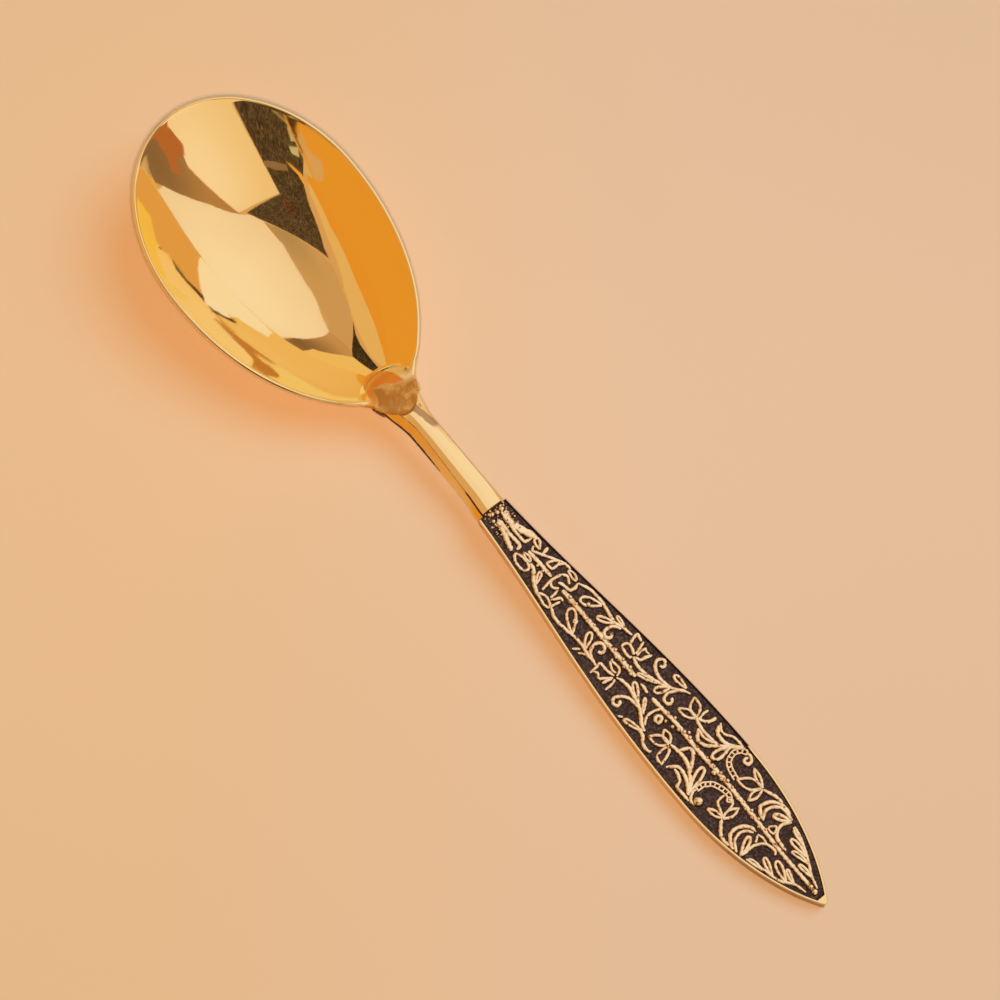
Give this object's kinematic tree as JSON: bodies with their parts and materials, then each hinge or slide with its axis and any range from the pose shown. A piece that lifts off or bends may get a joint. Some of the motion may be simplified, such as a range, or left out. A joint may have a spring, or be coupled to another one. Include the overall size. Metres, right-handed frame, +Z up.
{
  "type": "nut spoon",
  "caption": "Brass serving spoon: an egg-shaped raised bowl brazed by its heel tongue to a cast stem, with a leaf-shaped handle that holds a blackened relief plate.",
  "frame": {"origin": "under the middle of the spoon's length, on the surface that it lies on", "axes": "+Y from the handle's tip towards the far end of the bowl, +Z up out of the bowl, +X across"},
  "size_m": [0.0532, 0.2329, 0.0252],
  "materials": {
    "bowl": "mirror-polished sheet brass",
    "handle_bar": "polished cast brass with small casting pits",
    "relief_plate": "blackened brass ground with polished raised lines",
    "braze": "dull dark porous braze"
  },
  "bodies": {
    "root": {"bowl": "bowl", "handle_bar": "handle_bar", "relief_plate": "relief_plate", "heel_braze_left": "braze", "heel_braze_right": "braze"}
  },
  "joints": []
}
